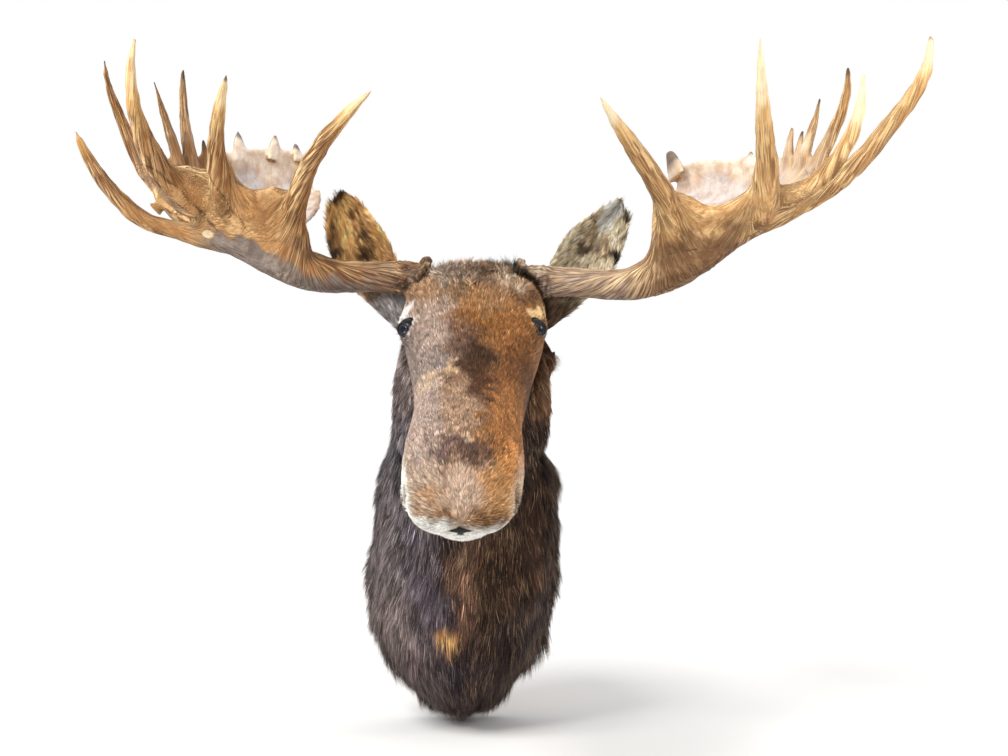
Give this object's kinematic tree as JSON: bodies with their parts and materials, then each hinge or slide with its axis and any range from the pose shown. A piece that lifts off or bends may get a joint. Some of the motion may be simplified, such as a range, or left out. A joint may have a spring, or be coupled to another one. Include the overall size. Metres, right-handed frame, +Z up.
{
  "type": "moose antler mount with head and neck",
  "caption": "Bull moose's palmate antlers on its mounted head and neck, with ears, glass eyes and a flat wooden back board that hangs on a wall",
  "frame": {"origin": "middle of the back board's flat back, which lies on the wall", "axes": "the wall is the plane y = 0, +Y points into the wall and the head faces -Y; +Z is up; the animal's left side is at +X"},
  "size_m": [1.4445, 1.057, 1.2544],
  "materials": {
    "antler": "antler bone, bark-like grooves, worn pale at the tips",
    "face_hair": "short brown hair on hide",
    "neck_hair": "long coarse near-black hair on hide",
    "ear_hair": "short tan and dark hair on hide",
    "eye_glass": "dark polished glass",
    "board_wood": "bare plywood, sanded"
  },
  "bodies": {
    "root": {"antler_right_beam": "antler", "antler_right_brow_palm": "antler", "antler_right_main_palm": "antler", "antler_left_beam": "antler", "antler_left_brow_palm": "antler", "antler_left_main_palm": "antler", "head": "face_hair", "neck": "neck_hair", "ear_right": "ear_hair", "ear_left": "ear_hair", "eye_right": "eye_glass", "eye_left": "eye_glass", "back_board": "board_wood"}
  },
  "joints": []
}
